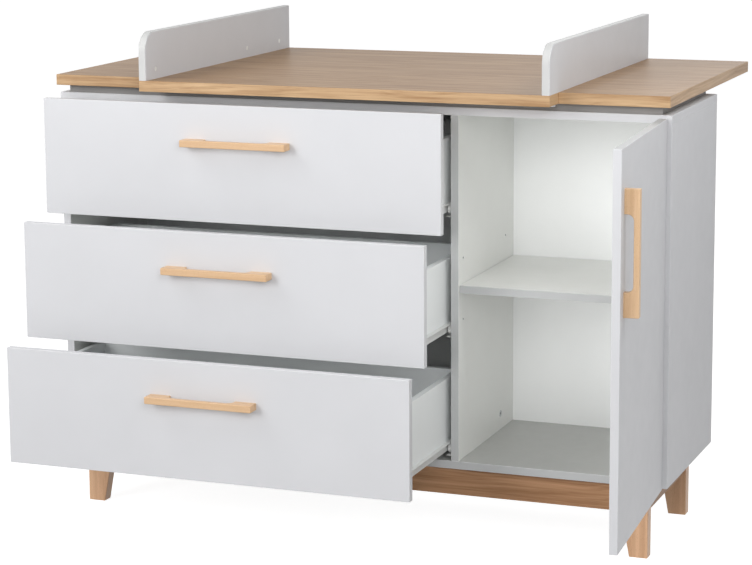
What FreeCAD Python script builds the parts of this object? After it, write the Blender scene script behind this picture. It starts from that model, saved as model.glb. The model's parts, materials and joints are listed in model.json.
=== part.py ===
import FreeCAD, Part
import Sketcher
import os
import re

# Changing dresser: three drawers, one cupboard with a shelf, a three-part top with two guards.
# Millimetres. X to the right, Y to the back, Z up. The origin is on the floor, in the middle of
# the width, under the front edges of the carcass. The drawers and the door stand part open.

os.makedirs("parts", exist_ok=True)
doc = FreeCAD.newDocument("changing_dresser")

driving_sizes = {
    # carcass
    "carcassWidth": 1300,
    "carcassDepth": 375,
    "carcassBottom": 146,
    "carcassHeight": 728,
    "panelThickness": 16,
    "dividerCentre": 216,
    "backPanelFront": 356,
    "backPanelThickness": 3,
    "backGrooveDepth": 6,
    "edgeEase": 0.6,
    # top: spacer frame, boards and guards
    "spacerHeight": 16,
    "spacerSideInset": 20,
    "spacerFrontInset": 5,
    "spacerRearInset": 15,
    "spacerRailWidth": 60,
    "boardThickness": 22,
    "boardFrontOverhang": 16,
    "changingBoardOverhang": 74,
    "changingBoardWidth": 862,
    "boardRear": 666,
    "battenWidth": 40,
    "battenLength": 1200,
    "battenRearInset": 4,
    "boardEase": 1,
    "guardThickness": 16,
    "guardHeight": 97,
    "guardCornerRadius": 38,
    "guardEase": 2,
    # drawer fronts and door
    "frontBottom": 147,
    "frontHeight": 238,
    "frontThickness": 16,
    "frontGap": 4,
    "frontStandoff": 2,
    "frontSideInset": 1.5,
    "frontEase": 1,
    # drawer boxes
    "boxHeight": 146,
    "boxRise": 34,
    "boxLength": 345,
    "boxPanelThickness": 12,
    "runnerGap": 12.5,
    "boxBottomRise": 10,
    "boxBottomThickness": 4,
    "boxGrooveDepth": 6,
    "upperDrawerOut": 58,
    "middleDrawerOut": 155,
    "lowerDrawerOut": 239,
    # runners
    "runnerSheet": 1.2,
    "runnerLength": 340,
    "cabinetWebBelow": 9.2,
    "cabinetWebAbove": 20,
    "cabinetTrackWidth": 9.5,
    "boxWebHeight": 17,
    "boxTrackWidth": 8.3,
    "rollerRadius": 10,
    "rollerWidth": 6,
    "rollerStudRadius": 2.5,
    "frontRollerPlace": 12,
    "rearRollerPlace": 330,
    "rollerPlay": 0.1,
    "rollerFromWeb": 1,
    "rollerStudEnd": 0.5,
    "runnerSetback": 1,
    # handles
    "handleLength": 228,
    "handleSection": 14,
    "handleReach": 28,
    "handleBarThickness": 11,
    "handleFootLength": 45,
    "handleInnerRadius": 12,
    "handleEase": 1.5,
    "handleScrewSpacing": 192,
    "handleScrewRadius": 2,
    "handleScrewDepth": 12,
    "handleScrewHeadRadius": 4,
    "handleScrewHeadHeight": 2.6,
    "drawerHandleCentre": -216,
    "drawerHandleDrop": 77,
    "doorHandleInset": 33,
    "doorHandleDrop": 186,
    # shelf
    "shelfTop": 520,
    "shelfFront": 3,
    "shelfRear": 355,
    "shelfSideGap": 0.5,
    "supportPitch": 62,
    "supportLevel": 509,
    "supportFront": 28,
    "supportRear": 301,
    "supportStudRadius": 2.5,
    "supportStudLength": 9,
    "supportLug": 9,
    "supportLugHeight": 7,
    "supportLugWidth": 12,
    # plinth and legs
    "legOuter": 611,
    "legFootWidth": 37,
    "legTopWidth": 64,
    "legThickness": 26,
    "legFront": 6,
    "rearLegFront": 320,
    "legEase": 1.5,
    "railThickness": 16,
    "railHeight": 56,
    "railInset": 5,
    # hinges of the door
    "hingeEndInset": 90,
    "cupCentreInset": 21.5,
    "cupRadius": 17.5,
    "cupDepth": 12.5,
    "cupHollowRadius": 16.3,
    "cupSheet": 1,
    "cupFlangeHeight": 48,
    "cupFlangeWidth": 33,
    "armPinFromEdge": 29.5,
    "armPinForward": 4.9,
    "cupPinFromEdge": 8.5,
    "cupPinForward": 7.5,
    "hingePinRadius": 1.5,
    "hingePinClearance": 0.05,
    "linkHalfHeight": 3,
    "hingeFitGap": 0.4,
    "hingeEarThickness": 2.6,
    "cupEarThickness": 2.1,
    "hingePlateFront": 22,
    "hingePlateDepth": 32,
    "hingePlateHeight": 48,
    "hingePlateThickness": 3,
    "hingeSaddleHeight": 16,
    "armEyeRadius": 3.8,
    "linkArmEyeRadius": 3.4,
    "linkCupEyeRadius": 2.6,
    "armLength": 58,
    "linkSwing": 41.6,
    "doorTurnOnLink": 135.4,
    # fasteners
    "dowelRadius": 4,
    "dowelLength": 30,
    "dowelInFace": 10,
    "dowelFront": 60,
    "dowelMiddle": 190,
    "dowelRear": 320,
    "spacerDowelOuter": 559,
    "spacerDowelInner": 195,
    "seamDowelFirst": 90,
    "seamDowelSecond": 230,
    "seamDowelThird": 370,
    "seamDowelFourth": 520,
    "legDowelOuter": 17,
    "legDowelInner": 48,
    "holeClearance": 0.2,
    "camRadius": 7.5,
    "camDepth": 12.5,
    "camInset": 34,
    "camFront": 110,
    "camRear": 270,
    "camBoltRadius": 3,
    "camBoltStart": 3,
    "guardBoltRadius": 3,
    "guardBoltHeadRadius": 6,
    "guardBoltHeadHeight": 4,
    "guardNutRadius": 5,
    "guardNutRise": 20,
    "guardNutLength": 12,
    "guardBoltFront": -28,
    "guardBoltMiddle": 427,
    "guardBoltRear": 606,
}

sheet = doc.addObject("Spreadsheet::Sheet", "Size")
for row, (alias, value) in enumerate(driving_sizes.items(), start=1):
    sheet.set(f"A{row}", alias)
    sheet.set(f"B{row}", str(value))
    sheet.setAlias(f"B{row}", alias)
doc.recompute()

directions = {
    "+x": FreeCAD.Vector(1, 0, 0),
    "-x": FreeCAD.Vector(-1, 0, 0),
    "+y": FreeCAD.Vector(0, 1, 0),
    "-y": FreeCAD.Vector(0, -1, 0),
    "+z": FreeCAD.Vector(0, 0, 1),
    "-z": FreeCAD.Vector(0, 0, -1),
}
nodes = {}
holes = {}
fasteners = {}


# ---- expressions -------------------------------------------------------------------------------
def bound(text):
    """Turns each alias in a formula into a reference to the sheet."""
    return re.sub(
        r"[A-Za-z]\w*",
        lambda word: "Size." + word.group(0) if word.group(0) in driving_sizes else word.group(0),
        text,
    )


def bind(feature, prop, text):
    feature.setExpression(prop, bound(text))


def place(feature, point):
    for axis, text in zip("xyz", point):
        bind(feature, "Placement.Base." + axis, text)


def on_side(side, near, far):
    """The lower X of a piece that spans near to far on the right, or its mirror on the left."""
    return near if side == "right" else f"-({far})"


# ---- shapes ------------------------------------------------------------------------------------
def block(name, corner, size):
    piece = doc.addObject("Part::Box", name)
    for prop, text in zip(("Length", "Width", "Height"), size):
        bind(piece, prop, text)
    place(piece, corner)
    return piece


def rod(name, start, direction, radius, length):
    piece = doc.addObject("Part::Cylinder", name)
    bind(piece, "Radius", radius)
    bind(piece, "Height", length)
    turn = FreeCAD.Rotation(directions["+z"], directions[direction])
    piece.Placement = FreeCAD.Placement(FreeCAD.Vector(), turn)
    place(piece, start)
    return piece


def group(name, members):
    piece = doc.addObject("Part::Compound", name)
    piece.Links = members
    return piece


def fuse(name, members):
    piece = doc.addObject("Part::MultiFuse", name)
    piece.Shapes = members
    return piece


def cut(name, base, tools):
    piece = doc.addObject("Part::Cut", name)
    piece.Base = base
    piece.Tool = tools[0] if len(tools) == 1 else group(name + "_cutters", tools)
    return piece


def outline(body, plane, points):
    """A closed sketch whose corners are each held from the origin by two named dimensions."""
    sketch = body.newObject("Sketcher::SketchObject", body.Name + "_outline")
    support = next(f for f in body.Origin.OriginFeatures if f.Role == plane)
    sketch.AttachmentSupport = (support, [""])
    sketch.MapMode = "FlatFace"
    count = len(points)
    starts = [FreeCAD.Vector(1 + i % 2, 1 + i, 0) for i in range(count)]
    for i in range(count):
        sketch.addGeometry(Part.LineSegment(starts[i], starts[(i + 1) % count]), False)
    for i in range(count):
        sketch.addConstraint(Sketcher.Constraint("Coincident", i, 2, (i + 1) % count, 1))
    for i, corner in enumerate(points):
        for axis, text, value in zip("XY", corner, starts[i]):
            held = Sketcher.Constraint("Distance" + axis, -1, 1, i, 1, value)
            index = sketch.addConstraint(held)
            sketch.renameConstraint(index, f"corner{i}{axis}")
            bind(sketch, f"Constraints.corner{i}{axis}", text)
    return sketch


def pad(body, sketch, length, midplane=False, backwards=False):
    feature = body.newObject("PartDesign::Pad", body.Name + "_pad")
    feature.Profile = sketch
    bind(feature, "Length", length)
    feature.Midplane = midplane
    feature.Reversed = backwards
    sketch.Visibility = False
    return feature


def round_edges(body, base, radius, chosen=None):
    """Rounds the edges that chosen accepts, or every edge."""
    doc.recompute()
    feature = body.newObject("PartDesign::Fillet", body.Name + "_round")
    names = [
        f"Edge{number}"
        for number, edge in enumerate(base.Shape.Edges, start=1)
        if chosen is None or chosen(edge.BoundBox)
    ]
    feature.Base = (base, names)
    bind(feature, "Radius", radius)
    return feature


def padded(name, plane, points, length, ease, place_at=("0", "0", "0"), backwards=False):
    body = doc.addObject("PartDesign::Body", name)
    solid = pad(body, outline(body, plane, points), length, backwards=backwards)
    round_edges(body, solid, ease)
    place(body, place_at)
    return body


def board(name, corner, size, ease="edgeEase"):
    """A rectangular board, X by Y by Z, with all its edges eased."""
    long_x, long_y, long_z = size
    points = [("0", "0"), (long_x, "0"), (long_x, long_y), ("0", long_y)]
    return padded(name, "XY_Plane", points, long_z, ease, corner)


def keep(label, shape):
    """Names a finished piece and bores the holes that its fasteners asked for."""
    tools = holes.get(label, [])
    piece = cut(label + "_bored", shape, tools) if tools else shape
    piece.Label = label
    nodes[label] = piece
    return piece


# ---- fasteners and their holes -----------------------------------------------------------------
# Cutters reach 1 mm past the face that they open.
def bore(labels, start, direction, radius, length):
    """A hole cutter that starts a little before the fastener and is a little wider."""
    name = f"bore_{sum(len(h) for h in holes.values())}"
    cutter = rod(name, start, direction, f"{radius} + holeClearance", length)
    for label in labels:
        holes.setdefault(label, []).append(cutter)
    return cutter


def shifted(start, direction, distance):
    """The point that lies a distance from start along a direction."""
    moved = list(start)
    axis = "xyz".index(direction[1])
    moved[axis] = f"({start[axis]}) {direction[0]} ({distance})"
    return tuple(moved)


def dowel(start, direction, labels):
    """A wooden dowel that starts at one end and joins the labelled pieces."""
    members = fasteners.setdefault("wooden_dowels", [])
    name = f"dowel_{len(members)}"
    members.append(rod(name, start, direction, "dowelRadius", "dowelLength"))
    before = shifted(start, direction, "-holeClearance")
    bore(labels, before, direction, "dowelRadius", "dowelLength + 2 * holeClearance")


def cam_fitting(face, into, along, owner, mate):
    """A cam lock let into a face of its owner, and the bolt that draws the mate against the end."""
    members = fasteners.setdefault("cam_fittings", [])
    number = len(members)
    bolt_centre = shifted(face, into, "panelThickness / 2")
    bolt_start = shifted(bolt_centre, along, "camBoltStart")
    bolt_length = "camInset + dowelInFace - camBoltStart"
    lock = rod(f"cam_{number}", face, into, "camRadius", "camDepth")
    pocket_start = shifted(bolt_centre, along, "camBoltStart - holeClearance")
    pocket_length = f"{bolt_length} + 2 * holeClearance"
    pocket = bore([owner, mate], pocket_start, along, "camBoltRadius", pocket_length)
    members.append(cut(f"cam_lock_{number}", lock, [pocket]))
    members.append(rod(f"cam_bolt_{number}", bolt_start, along, "camBoltRadius", bolt_length))
    bore([owner], face, into, "camRadius", "camDepth + holeClearance")


# ---- places that several pieces share ----------------------------------------------------------
half_width = "carcassWidth / 2"
inner_side = "(carcassWidth / 2 - panelThickness)"
carcass_top = "(carcassBottom + carcassHeight)"
under_top = "(carcassBottom + carcassHeight - panelThickness)"
bay_floor = "(carcassBottom + panelThickness)"
divider_left = "(dividerCentre - panelThickness / 2)"
divider_right = "(dividerCentre + panelThickness / 2)"
board_bottom = "(carcassBottom + carcassHeight + spacerHeight)"
board_top = "(carcassBottom + carcassHeight + spacerHeight + boardThickness)"
front_face = "(-frontStandoff - frontThickness)"
front_right = "(dividerCentre - frontGap / 2)"
door_left = "(dividerCentre + frontGap / 2)"
door_right = "(carcassWidth / 2 - frontSideInset)"
door_height = "(3 * frontHeight + 2 * frontGap)"
rail_bottom = "(carcassBottom - railHeight)"
dowel_rows = ("dowelFront", "dowelMiddle", "dowelRear")
cam_rows = ("camFront", "camRear")
hinge_levels = {
    "upper": f"(frontBottom + {door_height} - hingeEndInset)",
    "lower": "(frontBottom + hingeEndInset)",
}


def joint_carcass():
    """Dowels and cam fittings of the side panels, the divider, the top and the base."""
    for side in ("left", "right"):
        panel = side + "_side_panel"
        inward = "+x" if side == "left" else "-x"
        outward = "-x" if side == "left" else "+x"
        sign = "-" if side == "left" else ""
        middle = f"{sign}({half_width} - panelThickness / 2)"
        inner = f"{sign}{inner_side}"
        for row in dowel_rows:
            top_start = (middle, row, f"{under_top} + dowelInFace - dowelLength")
            dowel(top_start, "+z", (panel, "carcass_top_panel"))
            base_height = "carcassBottom + panelThickness / 2"
            base_start = shifted((inner, row, base_height), outward, "dowelInFace - 1")
            dowel(base_start, inward, (panel, "base_panel"))
        for row in cam_rows:
            level = f"{under_top} - camInset"
            cam_fitting((inner, row, level), outward, "+z", panel, "carcass_top_panel")
            near_end = shifted((inner, row, "carcassBottom"), inward, "camInset")
            cam_fitting(near_end, "+z", outward, "base_panel", panel)
    for row in dowel_rows:
        top_start = ("dividerCentre", row, f"{under_top} + dowelInFace - dowelLength")
        dowel(top_start, "+z", ("centre_divider", "carcass_top_panel"))
        base_start = ("dividerCentre", row, f"{bay_floor} - dowelInFace")
        dowel(base_start, "+z", ("centre_divider", "base_panel"))
    for row in cam_rows:
        upper = (divider_left, row, f"{under_top} - camInset")
        cam_fitting(upper, "+x", "+z", "centre_divider", "carcass_top_panel")
    front_lower = (divider_left, "camFront", f"{bay_floor} + camInset")
    cam_fitting(front_lower, "+x", "-z", "centre_divider", "base_panel")
    rear_lower = (divider_right, "camRear", f"{bay_floor} + camInset")
    cam_fitting(rear_lower, "-x", "-z", "centre_divider", "base_panel")


def make_carcass():
    groove_y = "backPanelFront - holeClearance"
    groove_width = "backPanelThickness + 2 * holeClearance"
    for side in ("left", "right"):
        label = side + "_side_panel"
        x_low = on_side(side, inner_side, half_width)
        size = ("panelThickness", "carcassDepth", "carcassHeight - panelThickness")
        panel = board(label + "_board", (x_low, "0", "carcassBottom"), size)
        groove_x = on_side(side, f"{inner_side} - 1", f"{inner_side} + backGrooveDepth")
        groove_low = "carcassBottom + panelThickness - backGrooveDepth"
        groove_size = ("backGrooveDepth + 1", groove_width, "carcassHeight")
        groove = block(label + "_groove", (groove_x, groove_y, groove_low), groove_size)
        holes.setdefault(label, []).append(groove)
        if side == "right":
            support_holes(label, inner_side, "+x")
        keep(label, panel)

    top_size = ("carcassWidth", "carcassDepth", "panelThickness")
    top = board("top_board", (f"-{half_width}", "0", under_top), top_size)
    groove_half = f"({inner_side} + backGrooveDepth)"
    long_groove = (f"2 * {groove_half}", groove_width, "backGrooveDepth + 1")
    top_groove = block("top_groove", (f"-{groove_half}", groove_y, f"{under_top} - 1"), long_groove)
    holes["carcass_top_panel"].append(top_groove)
    keep("carcass_top_panel", top)

    base_size = (f"2 * {inner_side}", "carcassDepth", "panelThickness")
    base = board("base_board", (f"-{inner_side}", "0", "carcassBottom"), base_size)
    groove_low = f"{bay_floor} - backGrooveDepth"
    base_groove = block("base_groove", (f"-{groove_half}", groove_y, groove_low), long_groove)
    holes["base_panel"].append(base_groove)
    keep("base_panel", base)

    divider_size = ("panelThickness", groove_y, f"{under_top} - {bay_floor}")
    divider = board("divider_board", (divider_left, "0", bay_floor), divider_size)
    support_holes("centre_divider", divider_right, "-x")
    keep("centre_divider", divider)

    slack = "2 * holeClearance"
    back_half = f"({inner_side} + backGrooveDepth - {slack})"
    back_low = f"({bay_floor} - backGrooveDepth + {slack})"
    back_high = f"({under_top} + backGrooveDepth - {slack})"
    back_size = (f"2 * {back_half}", "backPanelThickness", f"{back_high} - {back_low}")
    keep("back_panel", block("back_sheet", (f"-{back_half}", "backPanelFront", back_low), back_size))


# ---- shelf -------------------------------------------------------------------------------------
def support_holes(label, face, direction):
    """Three levels of holes for the shelf supports, in two rows."""
    for row in ("supportFront", "supportRear"):
        for step in ("-1", "0", "1"):
            start = (face, row, f"supportLevel + {step} * supportPitch")
            bore([label], start, direction, "supportStudRadius", "supportStudLength + holeClearance")


def make_shelf():
    x_low = f"{divider_right} + shelfSideGap"
    width = f"{inner_side} - {divider_right} - 2 * shelfSideGap"
    depth = "shelfRear - shelfFront"
    shelf_low = "(shelfTop - panelThickness)"
    shelf = board("shelf_board", (x_low, "shelfFront", shelf_low), (width, depth, "panelThickness"))
    supports = []
    lug_low = "supportLevel - supportLugHeight / 2"
    for side, face, out in (("left", divider_right, "+x"), ("right", inner_side, "-x")):
        for row in ("supportFront", "supportRear"):
            name = f"{side}_{row}"
            into = "-x" if out == "+x" else "+x"
            stud = rod(name + "_stud", (face, row, "supportLevel"), into,
                       "supportStudRadius", "supportStudLength")
            lug_x = face if out == "+x" else f"{face} - supportLug"
            lug_y = f"{row} - supportLugWidth / 2"
            lug = block(name + "_lug", (lug_x, lug_y, lug_low),
                        ("supportLug", "supportLugWidth", "supportLugHeight"))
            supports.append(fuse(name + "_support", [stud, lug]))
            notch_x = f"{face} - 1" if out == "+x" else f"{face} - supportLug - holeClearance"
            notch_y = f"{row} - supportLugWidth / 2 - holeClearance"
            notch_size = ("supportLug + 1 + holeClearance",
                          "supportLugWidth + 2 * holeClearance",
                          f"{lug_low} + supportLugHeight - {shelf_low} + 1")
            notch = block(name + "_notch", (notch_x, notch_y, f"{shelf_low} - 1"), notch_size)
            holes.setdefault("shelf", []).append(notch)
    keep("shelf", shelf)
    keep("shelf_supports", group("shelf_support_group", supports))


# ---- top: spacer frame, boards, guards ---------------------------------------------------------
spacer_half = "(carcassWidth / 2 - spacerSideInset)"
spacer_rear = "(carcassDepth - spacerRearInset)"
seam = "(changingBoardWidth / 2)"
seam_rows = ("seamDowelFirst", "seamDowelSecond", "seamDowelThird", "seamDowelFourth")


def joint_top():
    """Dowels through the spacer frame and across the seams of the top, and the guard bolts."""
    rails = {"spacer_front_rail": "spacerFrontInset + spacerRailWidth / 2",
             "spacer_back_rail": f"{spacer_rear} - spacerRailWidth / 2"}
    level = f"{carcass_top} + spacerHeight / 2 - dowelLength / 2"
    for rail, row in rails.items():
        for sign in ("-", ""):
            for board_label, place_x in (("top_board", "spacerDowelOuter"),
                                         ("changing_board", "spacerDowelInner")):
                side = "left_" if sign == "-" else "right_"
                owner = side + board_label if board_label == "top_board" else board_label
                start = (f"{sign}{place_x}", row, level)
                dowel(start, "+z", ("carcass_top_panel", rail, owner))
    for side, sign in (("left", "-"), ("right", "")):
        for row in seam_rows:
            start = (f"{sign}{seam} - dowelLength / 2", row, f"{board_bottom} + boardThickness / 2")
            dowel(start, "+x", ("changing_board", side + "_top_board"))
        for row in ("guardBoltFront", "guardBoltMiddle", "guardBoltRear"):
            guard_bolt(side, sign, row)


def guard_bolt(side, sign, row):
    """A bolt from under the board into a barrel nut that shows on the guard's inner face."""
    members = fasteners.setdefault("guard_fixings", [])
    guard = side + "_guard"
    middle = f"{sign}({seam} - guardThickness / 2)"
    inner = f"{sign}({seam} - guardThickness)"
    name = f"{side}_{row}"
    head_low = (middle, row, f"{board_bottom} - guardBoltHeadHeight")
    head = rod(name + "_head", head_low, "+z", "guardBoltHeadRadius", "guardBoltHeadHeight")
    shank_length = "boardThickness + guardNutRise"
    shank = rod(name + "_shank", (middle, row, board_bottom), "+z", "guardBoltRadius", shank_length)
    members.append(fuse(name + "_bolt", [head, shank]))
    hole = bore(["changing_board", guard], (middle, row, f"{board_bottom} - 1"), "+z",
                "guardBoltRadius", f"{shank_length} + 1 + holeClearance")
    outward = "-x" if side == "left" else "+x"
    nut_start = (inner, row, f"{board_top} + guardNutRise")
    nut = rod(name + "_nut", nut_start, outward, "guardNutRadius", "guardNutLength")
    members.append(cut(name + "_barrel", nut, [hole]))
    inward = "+x" if side == "left" else "-x"
    bore([guard], shifted(nut_start, inward, "1"), outward, "guardNutRadius",
         "guardNutLength + 1 + holeClearance")


def make_top():
    rail_length = f"2 * {spacer_half}"
    rail_size = (rail_length, "spacerRailWidth", "spacerHeight")
    front = (f"-{spacer_half}", "spacerFrontInset", carcass_top)
    rear = (f"-{spacer_half}", f"{spacer_rear} - spacerRailWidth", carcass_top)
    keep("spacer_front_rail", board("front_spacer", front, rail_size))
    keep("spacer_back_rail", board("back_spacer", rear, rail_size))
    between = f"{spacer_rear} - spacerFrontInset - 2 * spacerRailWidth"
    side_rails = []
    for side in ("left", "right"):
        x_low = on_side(side, f"{spacer_half} - spacerRailWidth", spacer_half)
        corner = (x_low, "spacerFrontInset + spacerRailWidth", carcass_top)
        size = ("spacerRailWidth", between, "spacerHeight")
        side_rails.append(board(side + "_spacer", corner, size))
    keep("spacer_side_rails", group("spacer_side_group", side_rails))

    depth = "boardRear + changingBoardOverhang"
    centre_corner = (f"-{seam}", "-changingBoardOverhang", board_bottom)
    centre_size = ("changingBoardWidth", depth, "boardThickness")
    keep("changing_board", board("centre_board", centre_corner, centre_size, "boardEase"))
    for side in ("left", "right"):
        corner = (on_side(side, seam, half_width), "-boardFrontOverhang", board_bottom)
        size = (f"{half_width} - {seam}", "boardRear + boardFrontOverhang", "boardThickness")
        keep(side + "_top_board", board(side + "_board", corner, size, "boardEase"))
        keep(side + "_guard", guard(side))
    batten_corner = ("-battenLength / 2", "boardRear - battenWidth - battenRearInset", carcass_top)
    batten_size = ("battenLength", "battenWidth", "spacerHeight")
    keep("rear_batten", board("batten_board", batten_corner, batten_size))


def guard(side):
    """An upright board on the end of the changing board, with one rounded front corner."""
    body = doc.addObject("PartDesign::Body", side + "_guard_body")
    length = "(boardRear + changingBoardOverhang)"
    corners = [("0", "0"), (length, "0"), (length, "guardHeight"), ("0", "guardHeight")]
    solid = pad(body, outline(body, "YZ_Plane", corners), "guardThickness")
    height = sheet.get("guardHeight")
    corner = round_edges(body, solid, "guardCornerRadius",
                         lambda b: b.ZMin > height - 1 and b.YMax < 1)
    round_edges(body, corner, "guardEase", lambda b: b.ZMax > 1)
    x_low = on_side(side, f"{seam} - guardThickness", seam)
    place(body, (x_low, "-changingBoardOverhang", board_top))
    return body


# ---- plinth and legs ---------------------------------------------------------------------------
def leg_inner(height):
    """The distance from the middle of the dresser to a leg's slanted side at a height."""
    taper = "(legTopWidth - legFootWidth) / carcassBottom"
    return f"(legOuter - legFootWidth - {taper} * ({height}))"


def joint_legs():
    for row, front in (("front", "legFront"), ("rear", "rearLegFront")):
        for side, sign in (("left", "-"), ("right", "")):
            for inset in ("legDowelOuter", "legDowelInner"):
                start = (f"{sign}(legOuter - {inset})", f"{front} + legThickness / 2",
                         "carcassBottom + dowelInFace - dowelLength")
                dowel(start, "+z", (f"{row}_{side}_leg", "base_panel"))


def make_legs():
    for row, front in (("front", "legFront"), ("rear", "rearLegFront")):
        for side, sign in (("left", "-"), ("right", "")):
            corners = [
                (f"{sign}legOuter", "0"),
                (f"{sign}legOuter", "carcassBottom"),
                (f"{sign}{leg_inner('carcassBottom')}", "carcassBottom"),
                (f"{sign}{leg_inner('0')}", "0"),
            ]
            name = f"{row}_{side}_leg"
            body = padded(name + "_body", "XZ_Plane", corners, "legThickness", "legEase",
                          ("0", front, "0"), backwards=True)
            keep(name, body)


def make_plinth():
    outer_y = {"front_plinth_rail": "legFront + railInset",
               "rear_plinth_rail": "rearLegFront + legThickness - railInset - railThickness"}
    corners = [
        (f"-{leg_inner(rail_bottom)}", rail_bottom),
        (leg_inner(rail_bottom), rail_bottom),
        (leg_inner("carcassBottom"), "carcassBottom"),
        (f"-{leg_inner('carcassBottom')}", "carcassBottom"),
    ]
    for name, y_low in outer_y.items():
        keep(name, padded(name + "_body", "XZ_Plane", corners, "railThickness", "edgeEase",
                          ("0", y_low, "0"), backwards=True))
    for side in ("left", "right"):
        near = "legOuter - railInset - railThickness"
        corner = (on_side(side, near, "legOuter - railInset"), "legFront + legThickness", rail_bottom)
        size = ("railThickness", "rearLegFront - legFront - legThickness", "railHeight")
        keep(side + "_plinth_rail", board(side + "_rail_board", corner, size))


# ---- handles -----------------------------------------------------------------------------------
def handle(name):
    """A bridge handle: its length along X, its feet on the plane Y = 0, its bar towards -Y."""
    body = doc.addObject("PartDesign::Body", name)
    end = "handleLength / 2"
    foot = "(handleLength / 2 - handleFootLength)"
    gap = "-(handleReach - handleBarThickness)"
    corners = [
        (f"-{end}", "0"), (f"-{end}", "-handleReach"), (end, "-handleReach"), (end, "0"),
        (foot, "0"), (foot, gap), (f"-{foot}", gap), (f"-{foot}", "0"),
    ]
    solid = pad(body, outline(body, "XY_Plane", corners), "handleSection", midplane=True)
    foot_end = sheet.get("handleLength") / 2 - sheet.get("handleFootLength")
    gap_deep = sheet.get("handleReach") - sheet.get("handleBarThickness")
    inner = round_edges(
        body, solid, "handleInnerRadius",
        lambda b: abs(abs(b.XMin) - foot_end) < 0.1 and b.XLength < 0.1
        and abs(b.YMax + gap_deep) < 0.1 and b.YLength < 0.1,
    )
    round_edges(body, inner, "handleEase", lambda b: b.YMin < -0.1)
    return body


def handle_screws(name, centre, y_handle, board_label, handle_label, across="x"):
    """Two screws through a front into the handle's feet, and their holes."""
    screws = []
    for sign in ("-", "+"):
        offset = f"{sign} handleScrewSpacing / 2"
        x_text, z_text = centre
        if across == "x":
            x_text = f"{x_text} {offset}"
        else:
            z_text = f"{z_text} {offset}"
        inside = (x_text, f"{y_handle} + frontThickness", z_text)
        length = "frontThickness + handleScrewDepth - 2"
        tag = f"{name}_{'low' if sign == '-' else 'high'}"
        shank = rod(tag + "_shank", inside, "-y", "handleScrewRadius", length)
        head = rod(tag + "_head", inside, "+y", "handleScrewHeadRadius", "handleScrewHeadHeight")
        screws.append(fuse(tag + "_screw", [shank, head]))
        deep = "frontThickness + handleScrewDepth + 1"
        bore([board_label, handle_label], shifted(inside, "+y", "1"), "-y", "handleScrewRadius", deep)
    return group(name + "_group", screws)


# ---- drawers -----------------------------------------------------------------------------------
box_left = f"(-{inner_side} + runnerGap)"
box_right = f"({divider_left} - runnerGap)"


def make_drawer(level, row):
    """One drawer: a front, a box of five panels, a handle and two runner rails with rollers."""
    out = level + "DrawerOut"
    front_low = f"(frontBottom + {row} * (frontHeight + frontGap))"
    box_low = f"({front_low} + boxRise)"
    box_front = f"(-frontStandoff - {out})"
    box_back = f"({box_front} + boxLength)"
    bottom_low = f"({box_low} + boxBottomRise)"
    wall = "boxPanelThickness"
    drawer = level + "_drawer_"

    groove_low = f"{bottom_low} - holeClearance / 2"
    groove_height = "boxBottomThickness + holeClearance"
    bottom_left = f"({box_left} + {wall} - boxGrooveDepth)"
    bottom_right = f"({box_right} - {wall} + boxGrooveDepth)"
    groove_x = f"{bottom_left} - holeClearance"
    groove_width = f"{bottom_right} - {bottom_left} + 2 * holeClearance"
    groove = block(drawer + "groove", (groove_x, f"{box_front} - boxGrooveDepth - holeClearance",
                                       groove_low),
                   (groove_width, "boxLength + boxGrooveDepth + 2", groove_height))
    for piece in ("front", "left_side", "right_side"):
        holes.setdefault(drawer + piece, []).append(groove)

    face = f"({front_face} - {out})"
    handle_level = f"({front_low} + frontHeight - drawerHandleDrop)"
    screws = handle_screws(drawer + "screws", ("drawerHandleCentre", handle_level), face,
                           drawer + "front", drawer + "handle")
    front_x = f"(-{half_width} + frontSideInset)"
    front_size = (f"{front_right} - {front_x}", "frontThickness", "frontHeight")
    front = board(drawer + "front_board", (front_x, face, front_low), front_size, "frontEase")
    keep(drawer + "front", front)
    grip = handle(drawer + "handle_body")
    place(grip, ("drawerHandleCentre", face, handle_level))
    keep(drawer + "handle", grip)
    keep(drawer + "handle_screws", screws)

    side_size = (wall, "boxLength", "boxHeight")
    left = board(drawer + "left_board", (box_left, box_front, box_low), side_size)
    right = board(drawer + "right_board", (f"{box_right} - {wall}", box_front, box_low), side_size)
    keep(drawer + "left_side", left)
    keep(drawer + "right_side", right)
    inner_width = f"{box_right} - {box_left} - 2 * {wall}"
    bottom_top = f"({bottom_low} + boxBottomThickness)"
    back_corner = (f"{box_left} + {wall}", f"{box_back} - {wall}", bottom_top)
    back_size = (inner_width, wall, f"{box_low} + boxHeight - {bottom_top}")
    keep(drawer + "back", board(drawer + "back_board", back_corner, back_size))
    bottom_corner = (bottom_left, f"{box_front} - boxGrooveDepth", bottom_low)
    bottom_size = (f"{bottom_right} - {bottom_left}", "boxLength + boxGrooveDepth",
                   "boxBottomThickness")
    keep(drawer + "bottom", block(drawer + "bottom_sheet", bottom_corner, bottom_size))

    rails = []
    for side, face_x, outward in (("left", box_left, "-"), ("right", box_right, "+")):
        rails += box_runner(drawer + side, face_x, outward, box_front, box_low)
    keep(drawer + "runners", group(drawer + "runner_group", rails))
    return box_low


def strip(name, x_from, sign, x_length, y_low, length, z_low, height):
    """A block that reaches from one X towards the + or - side."""
    x_low = x_from if sign == "+" else f"{x_from} - ({x_length})"
    return block(name, (x_low, y_low, z_low), (x_length, length, height))


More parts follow.
